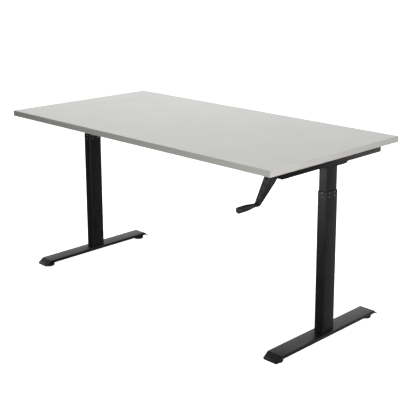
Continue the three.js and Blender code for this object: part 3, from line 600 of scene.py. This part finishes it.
# steel sheet folded into a channel that opens downwards, its ends left open
def makeBracket(side):
    bracket = {"sheet": 2.0, "bend": 3.2, "shaftHole": 7.0, "screwHole": 2.8, "edge": 0.45}
    low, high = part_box(f"side_bracket_{side}")
    shaft = middleOf("cross_shaft")
    bm = bmesh.new()
    outline = ((low.x, low.z), (low.x, high.z), (high.x, high.z), (high.x, low.z))
    made = [bm.verts.new((x, low.y, z)) for x, z in outline]
    strip = [bm.edges.new((a, b)) for a, b in zip(made, made[1:])]
    grown = bmesh.ops.extrude_edge_only(bm, edges=strip)["geom"]
    bmesh.ops.translate(bm, vec=(0, high.y - low.y, 0),
                        verts=[g for g in grown if isinstance(g, bmesh.types.BMVert)])
    bmesh.ops.recalc_face_normals(bm, faces=bm.faces)
    if max(bm.faces, key=lambda f: f.calc_center_median().z).normal.z < 0:
        bmesh.ops.reverse_faces(bm, faces=bm.faces)
    inner = low.x if side == "right" else high.x
    roundHole(bm, (inner, shaft.y, shaft.z), 0, bracket["shaftHole"] * mm)
    for word in ends:
        middle = middleOf(f"board_screw_{side}_{word}")
        roundHole(bm, (middle.x, middle.y, high.z), 2, bracket["screwHole"] * mm)
    bends = [e for e in bm.edges if e.is_manifold and e.calc_face_angle() > math.radians(45)]
    bevelEdges(bm, bends, bracket["bend"] * mm, 5)
    piece = finishPiece(f"sideBracket_{side}", bm, "upper_frame", [f"side_bracket_{side}"],
                        powder)
    giveThickness(piece, bracket["sheet"] * mm, bracket["edge"] * mm)


# welded rectangular tube between the two brackets
def makeCrossbar(word):
    crossbar = {"corner": 3.0, "wall": 2.0, "edge": 0.3}
    low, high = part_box(f"crossbar_{word}")
    middle = (low + high) / 2
    bm = bmesh.new()
    half = (high.x - low.x) / 2
    verts = rectTube(bm, (0, 0), high.z - low.z, high.y - low.y, crossbar["corner"] * mm,
                     crossbar["wall"] * mm,
                     -half, half, 5)
    bmesh.ops.transform(bm, matrix=laidAlong((1, 0, 0), middle), verts=verts)
    finishPiece(f"crossbar_{word}_tube", bm, "upper_frame", [f"crossbar_{word}"], powder,
                crossbar["edge"] * mm, 2, limit=60)


# die-cast gearbox: square in front, sloping up at the back, with rounded edges and two sunk mould marks
def makeGearbox(side):
    gearbox = {"chamfer": 15.0, "bracketGap": 11.0, "round": 1.6, "lidRound": 0.6, "mark": 4.0,
               "markSink": 0.8,
               "markApart": 13.0, "markBehind": 12.0}
    low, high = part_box(f"gearbox_housing_{side}")
    slopeTop = low.z + gearbox["bracketGap"] * mm
    slopeFoot = high.y - gearbox["chamfer"] * mm
    bm = bmesh.new()
    outline = [(low.y, low.z), (slopeFoot, low.z), (high.y, slopeTop), (high.y, high.z), (low.y, high.z)]
    face = bm.faces.new([bm.verts.new((low.x, y, z)) for y, z in outline])
    extruded(bm, [face], (high.x - low.x, 0, 0))
    bmesh.ops.recalc_face_normals(bm, faces=bm.faces)
    rounded = [e for e in bm.edges if (e.verts[0].co.z + e.verts[1].co.z) / 2 < high.z - 1e-5]
    bevelEdges(bm, rounded, gearbox["round"] * mm, 4)
    cx = (low.x + high.x) / 2
    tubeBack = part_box(f"inner_tube_{side}")[1].y
    for across in (-1, 1):
        spot = (cx + across * gearbox["markApart"] * mm, tubeBack + gearbox["markBehind"] * mm, low.z)
        roundHole(bm, spot, 2, gearbox["mark"] * mm, gearbox["markSink"] * mm)
    finishPiece(f"gearboxHousing_{side}", bm, "upper_frame", [f"gearbox_housing_{side}"],
                castPaint)
    bm = bmesh.new()
    lid = boxBetween(bm, *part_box(f"gearbox_lid_{side}"))
    bevelEdges(bm, edgesAlong(lid, 2), gearbox["round"] * mm, 4)
    finishPiece(f"gearboxLid_{side}", bm, "upper_frame", [f"gearbox_lid_{side}"], castPaint,
                gearbox["lidRound"] * mm, 2, limit=60)


# pushes the ring of points at one radius out to a hexagon, for a hexagon socket
def squaredToHexagon(verts, centre, axis, radius):
    place = laidAlong(axis, centre)
    back = place.inverted()
    for v in verts:
        spot = back @ v.co
        if abs(math.hypot(spot.x, spot.y) - radius) < 1e-5:
            turn = (math.degrees(math.atan2(spot.y, spot.x)) + 30) % 60 - 30
            grow = math.cos(math.radians(30)) / math.cos(math.radians(turn))
            v.co = place @ Vector((spot.x * grow, spot.y * grow, spot.z))


# glass-filled nylon crank arm: rounded ends, two windows in front with a groove round each pane, and a
# ribbed web on each side
def makeCrankArm():
    arm = {"hubRadius": 15.0, "endRadius": 8.5, "reach": 121.0, "lean": 25, "hubDepth": 42.0,
           "endDepth": 14.0,
           "rim": 2.6, "recess": 2.5, "rib": 5.0, "split": 0.52, "land": 8.0, "sideRim": 2.6, "sideSink": 1.1,
           "screwPocket": 6.5, "screwSink": 4.0, "edge": 0.7,
           "groove": 1.9, "paneRise": 1.7}
    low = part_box("crank_arm")[0]
    rod = middleOf("crank_rod")
    hubR, endR, reach = arm["hubRadius"] * mm, arm["endRadius"] * mm, arm["reach"] * mm
    deep, thin = arm["hubDepth"] * mm, arm["endDepth"] * mm
    bm = bmesh.new()
    corners = [(-hubR, hubR), (hubR, hubR), (endR, -reach - endR), (-endR, -reach - endR)]
    made = [bm.verts.new((x, 0, z)) for x, z in corners]
    bm.faces.new(made)
    bevelCorners(bm, made[:2], hubR * 0.995, 12)
    bevelCorners(bm, [v for v in bm.verts if v.co.z < -reach], endR * 0.995, 10)
    extruded(bm, [max(bm.faces, key=lambda f: f.calc_area())], (0, deep, 0))
    bmesh.ops.recalc_face_normals(bm, faces=bm.faces)

    def cutAcross(z):
        bmesh.ops.bisect_plane(bm, geom=list(bm.verts) + list(bm.edges) + list(bm.faces), dist=1e-7,
                               plane_co=(0, 0, z), plane_no=(0, 0, 1))

    bmesh.ops.remove_doubles(bm, verts=bm.verts, dist=1e-6)
    split = -reach * arm["split"]
    windows = [(-hubR - arm["land"] * mm, split), (split - arm["rib"] * mm, -reach + endR + arm["land"] * mm)]
    webTop, webBottom = windows[0][0] + 4 * mm, windows[1][1]
    for z in {-hubR, webTop} | {z for window in windows for z in window}:
        cutAcross(z)
    lowest = -reach - endR
    for v in bm.verts:
        if v.co.y > deep / 2 and v.co.z < -hubR:
            v.co.y = deep + (thin - deep) * (v.co.z + hubR) / (lowest + hubR)
    bmesh.ops.recalc_face_normals(bm, faces=bm.faces)
    for start, end in windows:
        panes = [f for f in bm.faces if f.normal.y < -0.9 and end < f.calc_center_median().z < start]
        bmesh.ops.inset_region(bm, faces=panes, thickness=arm["rim"] * mm, use_even_offset=True)
        bmesh.ops.inset_region(bm, faces=panes, thickness=0.4 * mm, depth=-arm["recess"] * mm,
                               use_even_offset=True)
        bmesh.ops.inset_region(bm, faces=panes, thickness=arm["groove"] * mm, use_even_offset=True)
        bmesh.ops.inset_region(bm, faces=panes, thickness=0.3 * mm, depth=arm["paneRise"] * mm,
                               use_even_offset=True)
    def webFaces(way):
        return [f for f in bm.faces
                if f.normal.x * way > 0.9 and webBottom < f.calc_center_median().z < webTop]

    def isBehind(face):
        middle = face.calc_center_median()
        return middle.y > deep / 2 + (thin - deep) / 2 * (middle.z + hubR) / (lowest + hubR)

    # each side's web is split lengthwise by a rib, then sunk on both sides of it
    for way in (-1, 1):
        web = webFaces(way)
        geom = web + list({e for f in web for e in f.edges}) + list({v for f in web for v in f.verts})
        along = Vector((0, (thin - deep) / 2, lowest + hubR)).normalized()
        bmesh.ops.bisect_plane(bm, geom=geom, dist=1e-7, plane_co=(0, deep / 2, -hubR),
                               plane_no=along.cross(Vector((1, 0, 0))))
        for behind in (False, True):
            part = [f for f in webFaces(way) if isBehind(f) == behind]
            bmesh.ops.inset_region(bm, faces=part, thickness=arm["sideRim"] * mm, use_even_offset=True)
            bmesh.ops.inset_region(bm, faces=part, thickness=0.3 * mm, depth=-arm["sideSink"] * mm,
                                   use_even_offset=True)
    roundHole(bm, (0, 0, 0), 1, arm["screwPocket"] * mm, arm["screwSink"] * mm, 1.25)
    hub = Vector((rod.x, low.y, rod.z))
    lean = Matrix.Rotation(math.radians(arm["lean"]), 4, "Y")
    bmesh.ops.transform(bm, matrix=Matrix.Translation(hub) @ lean, verts=bm.verts)
    finishPiece("crankArm", bm, "crank", ["crank_arm"], crankPlastic,
                arm["edge"] * mm, 3, limit=35)


# the grip swells from the arm to a round end, with a dished cap let into it
def makeGrip():
    grip = {"root": 8.2, "end": 12.5, "round": 5.0, "bore": 3.4, "capRadius": 5.4, "capDepth": 6.0,
            "steps": 14,
            "swellShare": 0.58, "neck": 3.0, "neckDepth": 0.35}
    low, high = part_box("grip")
    axle = middleOf("grip_axle")
    centre = (axle.x, high.y, axle.z)
    length = high.y - low.y
    root, end, c = grip["root"] * mm, grip["end"] * mm, grip["round"] * mm
    profile = [(grip["bore"] * mm, 0), (root - 1 * mm, 0), (root, 1 * mm), (root, (grip["neck"] - 0.6) * mm),
               (root - grip["neckDepth"] * mm, grip["neck"] * mm), (root, (grip["neck"] + 0.6) * mm)]
    start = (grip["neck"] + 1) * mm
    for i in range(1, grip["steps"] + 1):
        share = i / grip["steps"]
        eased = min(1, share / grip["swellShare"])
        swell = eased * eased * (3 - 2 * eased)
        profile.append((root + (end - root) * swell, start + (length - c - start) * share))
    profile += quarterRound(end - c, length - c, c, 6, 90, 8)
    seat = grip["capRadius"] * mm + 0.3 * mm
    profile += [(seat + 0.3 * mm, length), (seat, length - 0.3 * mm), (seat, length - grip["capDepth"] * mm),
                (grip["bore"] * mm, length - grip["capDepth"] * mm), (grip["bore"] * mm, 0)]
    bm = bmesh.new()
    turnedBody(bm, profile, centre, (0, -1, 0), 64)
    finishPiece("gripHandle", bm, "grip", ["grip"], gripPlastic)
    r = grip["capRadius"] * mm
    back = length - (grip["capDepth"] - 0.2) * mm
    capProfile = [(0, back), (r, back), (r, length - 0.8 * mm), (r - 0.4 * mm, length - 0.4 * mm),
                  (r - 1.1 * mm, length - 0.4 * mm), (r - 1.7 * mm, length - 1 * mm),
                  (r * 0.4, length - 1.3 * mm),
                  (0, length - 1.4 * mm)]
    bm = bmesh.new()
    turnedBody(bm, capProfile, centre, (0, -1, 0), 48)
    finishPiece("gripCap", bm, "grip", ["grip_cap"], crankPlastic)


# the crank's steel: rod with its hexagon head, hub screw and the grip's axle
def makeCrankSteel():
    rod = {"radius": 4.0, "flats": 10.0, "head": 22.0, "chamfer": 0.8}
    low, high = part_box("crank_rod")
    middle = (low + high) / 2
    centre = (middle.x, 0, middle.z)
    bm = bmesh.new()
    headStart = high.y - rod["head"] * mm
    prismBar(bm, rod["radius"] * 2 * mm, 32, centre, (0, 1, 0), low.y, headStart + 1 * mm, 0.4 * mm)
    prismBar(bm, rod["flats"] * mm, 6, centre, (0, 1, 0), headStart, high.y, rod["chamfer"] * mm)
    finishPiece("crankRod", bm, "crank", ["crank_rod"], rodSteel, 0.25 * mm)

    screw = {"head": 5.5, "headHeight": 2.8, "shank": 2.5, "socket": 3.4, "socketDepth": 1.8}
    low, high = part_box("crank_hub_screw")
    h, s, k = screw["head"] * mm, screw["socket"] * mm, screw["shank"] * mm
    profile = [(0, screw["socketDepth"] * mm), (s, screw["socketDepth"] * mm), (s, 0.3 * mm),
               (s + 0.3 * mm, 0),
               (h - 0.5 * mm, 0), (h, 0.5 * mm), (h, screw["headHeight"] * mm), (k, screw["headHeight"] * mm),
               (k, high.y - low.y), (0, high.y - low.y)]
    bm = bmesh.new()
    verts = turnedBody(bm, profile, (middle.x, low.y, middle.z), (0, 1, 0), 48)
    squaredToHexagon(verts, (middle.x, low.y, middle.z), (0, 1, 0), s)
    finishPiece("hubScrew", bm, "crank", ["crank_hub_screw"], blackZinc)

    axle = {"radius": 3.0, "head": 5.5, "headHeight": 3.0, "socket": 2.6, "socketDepth": 1.6}
    low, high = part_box("grip_axle")
    centre = ((low.x + high.x) / 2, low.y, (low.z + high.z) / 2)
    length = high.y - low.y
    a, h, s = axle["radius"] * mm, axle["head"] * mm, axle["socket"] * mm
    profile = [(0, 0), (a - 0.5 * mm, 0), (a, 0.5 * mm), (a, length - axle["headHeight"] * mm),
               (h, length - axle["headHeight"] * mm), (h, length - 1.4 * mm)]
    profile += quarterRound(h - 1.4 * mm, length - 1.4 * mm, 1.4 * mm, 20, 90, 4)
    profile += [(s, length), (s, length - axle["socketDepth"] * mm), (0, length - axle["socketDepth"] * mm)]
    bm = bmesh.new()
    verts = turnedBody(bm, profile, centre, (0, 1, 0), 48)
    squaredToHexagon(verts, centre, (0, 1, 0), s)
    finishPiece("gripAxle", bm, "crank", ["grip_axle"], zincCoat)


# the crank's plain bearing: a moulded block in the bracket, a flanged bush that slides through with the rod
def makeCrankBearing():
    bearing = {"hole": 9.25, "edge": 1.0, "bore": 4.3, "flange": 12.0, "flangeDepth": 2.0, "bush": 9.0,
               "pocket": 4.2, "pocketSink": 3.0, "pocketIn": 7.5}
    low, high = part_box("crank_bearing_block")
    bushLow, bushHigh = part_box("crank_bush")
    axisX, axisZ = (bushLow.x + bushHigh.x) / 2, (bushLow.z + bushHigh.z) / 2
    bm = bmesh.new()
    boxBetween(bm, low, high)
    bmesh.ops.recalc_face_normals(bm, faces=bm.faces)
    for y in (low.y, high.y):
        roundHole(bm, (axisX, y, axisZ), 1, bearing["hole"] * mm, None, 1.1)
    bmesh.ops.bridge_loops(bm, edges=[e for e in bm.edges if e.is_boundary])
    pocketIn = bearing["pocketIn"] * mm
    for across in (-1, 1):
        spot = (axisX + across * (high.x - axisX - pocketIn), low.y, high.z - pocketIn)
        roundHole(bm, spot, 1, bearing["pocket"] * mm, bearing["pocketSink"] * mm, 1.1)
    finishPiece("crankBearingBlock", bm, "upper_frame", ["crank_bearing_block"], nylon,
                bearing["edge"] * mm, 3, limit=60)
    b, f, r = bearing["bore"] * mm, bearing["flange"] * mm, bearing["bush"] * mm
    length = bushHigh.y - bushLow.y
    profile = [(b, 0.5 * mm), (b + 0.5 * mm, 0), (f - 0.6 * mm, 0), (f, 0.6 * mm),
               (f, bearing["flangeDepth"] * mm),
               (r, bearing["flangeDepth"] * mm), (r, length - 0.8 * mm), (r - 0.8 * mm, length), (b, length),
               (b, 0.5 * mm)]
    bm = bmesh.new()
    turnedBody(bm, profile, (axisX, bushLow.y, axisZ), (0, 1, 0), 48)
    finishPiece("crankBush", bm, "crank_bush", ["crank_bush"], nylon)


# the sleeve that the crank's hexagon enters, and the hexagonal cross shaft
def makeDriveSteel():
    sleeve = {"wallRadius": 9.33, "journal": 4.0, "shoulder": 2.0, "socket": 6.2, "socketDepth": 24.0,
              "chamfer": 0.8}
    low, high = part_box("drive_sleeve")
    centre = ((low.x + high.x) / 2, low.y, (low.z + high.z) / 2)
    length = high.y - low.y
    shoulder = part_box("gearbox_housing_right")[0].y - sleeve["shoulder"] * mm - low.y
    r, j, s, c = [sleeve[word] * mm for word in ("wallRadius", "journal", "socket", "chamfer")]
    profile = [(0, sleeve["socketDepth"] * mm), (s, sleeve["socketDepth"] * mm), (s, 0), (r - c, 0), (r, c),
               (r, shoulder - c), (r - c, shoulder), (j, shoulder), (j, length - c), (j - c, length),
               (0, length)]
    bm = bmesh.new()
    verts = turnedBody(bm, profile, centre, (0, 1, 0), 48)
    squaredToHexagon(verts, centre, (0, 1, 0), s)
    finishPiece("driveSleeve", bm, "drive_sleeve", ["drive_sleeve"], rodSteel)
    shaft = {"flats": 7.0, "chamfer": 0.7, "edge": 0.2}
    low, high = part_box("cross_shaft")
    middle = (low + high) / 2
    bm = bmesh.new()
    prismBar(bm, shaft["flats"] * mm, 6, (0, middle.y, middle.z), (1, 0, 0), low.x, high.x,
             shaft["chamfer"] * mm)
    finishPiece("crossShaft", bm, "cross_shaft", ["cross_shaft"], shaftSteel,
                shaft["edge"] * mm)


def makeFasteners(side, word):
    screw = {"head": 4.5, "headHeight": 2.2, "shank": 2.5, "root": 1.7, "pitch": 1.8, "socket": 1.7,
             "socketDepth": 1.3}
    low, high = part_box(f"board_screw_{side}_{word}")
    centre = ((low.x + high.x) / 2, (low.y + high.y) / 2, low.z)
    length = high.z - low.z
    h, s = screw["head"] * mm, screw["socket"] * mm
    profile = [(0, screw["socketDepth"] * mm), (s, screw["socketDepth"] * mm), (s, 0), (h - 1.6 * mm, 0)]
    profile += [(h - 0.5 * mm, 0.4 * mm), (h, 1.2 * mm), (h, screw["headHeight"] * mm)]
    thread = threadProfile(screw["shank"] * mm, screw["root"] * mm, screw["headHeight"] * mm, length,
                           screw["pitch"] * mm)
    bm = bmesh.new()
    verts = turnedBody(bm, profile + thread[1:], centre, (0, 0, 1), 24)
    squaredToHexagon(verts, centre, (0, 0, 1), s)
    finishPiece(f"boardScrew_{side}_{word}", bm, "upper_frame", [f"board_screw_{side}_{word}"],
                zincCoat)

    bolt = {"flats": 13.0, "headHeight": 5.3, "shank": 4.0, "root": 3.3, "pitch": 1.25, "washer": 6.2,
            "chamfer": 0.8}
    low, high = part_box(f"column_bolt_{side}_{word}")
    centre = ((low.x + high.x) / 2, (low.y + high.y) / 2, low.z)
    bm = bmesh.new()
    headTop = bolt["headHeight"] * mm
    prismBar(bm, bolt["flats"] * mm, 6, centre, (0, 0, 1), 0, headTop - 0.5 * mm, bolt["chamfer"] * mm)
    w = bolt["washer"] * mm
    washer = [(0, headTop - 0.6 * mm), (w, headTop - 0.6 * mm), (w, headTop), (0, headTop)]
    turnedBody(bm, washer, centre, (0, 0, 1), 32)
    turnedBody(bm, threadProfile(bolt["shank"] * mm, bolt["root"] * mm, headTop - 0.2 * mm, high.z - low.z,
                                 bolt["pitch"] * mm), centre, (0, 0, 1), 24)
    finishPiece(f"columnBolt_{side}_{word}", bm, "base", [f"column_bolt_{side}_{word}"],
                zincCoat)


# the thick plate under the column that spreads its bolts' load inside the foot
def makeFootPlate(side):
    plate = {"corner": 6.0, "hole": 4.3, "edge": 0.5}
    low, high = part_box(f"foot_plate_{side}")
    centre = ((low.x + high.x) / 2, (low.y + high.y) / 2)
    bm = bmesh.new()
    roundedFace(bm, centre, high.x - low.x, high.y - low.y, plate["corner"] * mm, 5, high.z)
    for word in ends:
        bolt = middleOf(f"column_bolt_{side}_{word}")
        roundHole(bm, (bolt.x, bolt.y, high.z), 2, plate["hole"] * mm)
    bmesh.ops.recalc_face_normals(bm, faces=bm.faces)
    if max(bm.faces, key=lambda f: f.calc_area()).normal.z < 0:
        bmesh.ops.reverse_faces(bm, faces=bm.faces)
    piece = finishPiece(f"footPlate_{side}", bm, "base", [f"foot_plate_{side}"],
                        groundSteel)
    giveThickness(piece, high.z - low.z, plate["edge"] * mm)


print("worktop")
makeWorktop()
print("feet and columns")
for side in sides:
    makeFoot(side)
    makeFootPlate(side)
    makeColumn(side)
    makeCollar(side)
    for word in ends:
        makeLevellingFoot(side, word)
        makeFasteners(side, word)
print("frame")
for side in sides:
    makeBracket(side)
    makeGearbox(side)
for word in ends:
    makeCrossbar(word)
print("crank")
makeCrankArm()
makeGrip()
makeCrankSteel()
makeCrankBearing()
makeDriveSteel()


# the working parts that the tubes and gearboxes hide keep their own shapes
def coat(names, material):
    for name in names:
        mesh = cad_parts[name].data
        mesh.materials.clear()
        mesh.materials.append(material)


for side in sides:
    coat([f"lower_glide_{side}"], nylon)
    turning = ("spindle", "spindle_gear", "spindle_bearing", "nut_tube")
    coat([f"{word}_{side}" for word in turning], groundSteel)
    coat([f"cross_pinion_{side}"], shaftSteel)
    coat([f"spindle_nut_{side}"], brassMetal)
coat(["drive_pinion"], rodSteel)


def makeStudio():
    studio = {"floorSize": 60.0, "floorGlow": 1.0, "strength": 0.8, "behind": (-0.5, 0.79, 0.355),
              "around": [(0.25, 0.05), (0.46, 0.07), (0.6, 0.25), (0.8, 1.0)],
              "upward": [(0.67, 1.0), (0.71, 0.55), (0.85, 0.8)]}
    bm = bmesh.new()
    bmesh.ops.create_grid(bm, x_segments=1, y_segments=1, size=studio["floorSize"] / 2)
    mesh = bpy.data.meshes.new("studioFloor")
    bm.to_mesh(mesh)
    bm.free()
    floor = bpy.data.objects.new("studioFloor", mesh)
    bpy.context.scene.collection.objects.link(floor)
    paper = newMaterial("studioFloorPaper", 0)
    shader = paper[1]
    shader.inputs["Base Color"].default_value = toLinear("#f4f4f4")
    shader.inputs["Roughness"].default_value = 0.9
    shader.inputs["Specular IOR Level"].default_value = 0
    shader.inputs["Emission Color"].default_value = toLinear("#ffffff")
    shader.inputs["Emission Strength"].default_value = studio["floorGlow"]
    mesh.materials.append(paper[0])
    floor.visible_glossy = False
    floor.visible_diffuse = False

    # the studio air is bright behind the desk and dim behind the camera, and dimmer again high up
    world = bpy.data.worlds.new("studioAir")
    bpy.context.scene.world = world
    world.use_nodes = True
    direction = addNode(world, "ShaderNodeTexCoord").outputs["Generated"]
    facing = addNode(world, "ShaderNodeVectorMath", {"operation": "DOT_PRODUCT"}, {1: studio["behind"]},
                     {0: direction}).outputs["Value"]
    height = addNode(world, "ShaderNodeSeparateXYZ", None, None, {"Vector": direction}).outputs["Z"]
    shades = []
    for source, stops in ((facing, studio["around"]), (height, studio["upward"])):
        share = addNode(world, "ShaderNodeMapRange", None, {"From Min": -1, "From Max": 1}, {"Value": source})
        shades.append(addNode(world, "ShaderNodeValToRGB", None, None, {"Fac": share}, stops))
    shade = addNode(world, "ShaderNodeVectorMath", {"operation": "MULTIPLY"}, None,
                    {0: shades[0], 1: shades[1]})
    background = world.node_tree.nodes["Background"]
    world.node_tree.links.new(shade.outputs[0], background.inputs["Color"])
    background.inputs["Strength"].default_value = studio["strength"]

    lamps = {
        "overhead": {"at": (-0.9, 0.9, 2.9), "aim": (-0.4, 0.2, 0.7), "size": (3.0, 2.4), "power": 48},
        "key": {"at": (3.6, -1.9, 1.0), "aim": (0.2, 0, 0.6), "size": (1.6, 0.9), "power": 112},
        "lowFront": {"at": (-0.45, -1.75, 0.12), "aim": (0.74, 0.03, 0.6), "size": (1.0, 0.2), "power": 3},
    }
    for name, lamp in lamps.items():
        light = bpy.data.lights.new(name, "AREA")
        light.shape = "RECTANGLE"
        light.size, light.size_y = lamp["size"]
        light.energy = lamp["power"]
        holder = bpy.data.objects.new(name, light)
        bpy.context.scene.collection.objects.link(holder)
        holder.visible_camera = False
        aim = Vector(lamp["aim"]) - Vector(lamp["at"])
        turn = aim.to_track_quat("-Z", "Y").to_matrix().to_4x4()
        holder.matrix_world = Matrix.Translation(lamp["at"]) @ turn


def makeCamera():
    view = {"at": (2.801299, -2.670517, 1.579301), "yaw": -0.7602417, "pitch": 0.2232708, "roll": -0.0041417,
            "lens": 77.93310, "shift": (-0.06, -0.16), "sensor": 36.0}
    cosYaw, sinYaw = math.cos(view["yaw"]), math.sin(view["yaw"])
    cosPitch, sinPitch = math.cos(view["pitch"]), math.sin(view["pitch"])
    forward = Vector((sinYaw * cosPitch, cosYaw * cosPitch, -sinPitch))
    right = Vector((cosYaw, -sinYaw, 0))
    down = forward.cross(right)
    cosRoll, sinRoll = math.cos(view["roll"]), math.sin(view["roll"])
    across = cosRoll * right + sinRoll * down
    below = -sinRoll * right + cosRoll * down
    turn = Matrix((across, -below, -forward)).transposed().to_4x4()
    camera = bpy.data.cameras.new("productCamera")
    camera.sensor_width = view["sensor"]
    camera.lens = view["lens"]
    camera.shift_x, camera.shift_y = view["shift"]
    camera.clip_end = 100
    holder = bpy.data.objects.new("productCamera", camera)
    bpy.context.scene.collection.objects.link(holder)
    holder.matrix_world = Matrix.Translation(view["at"]) @ turn
    bpy.context.scene.camera = holder


print("studio")
makeStudio()
makeCamera()
bpy.context.scene.view_settings.view_transform = "Standard"
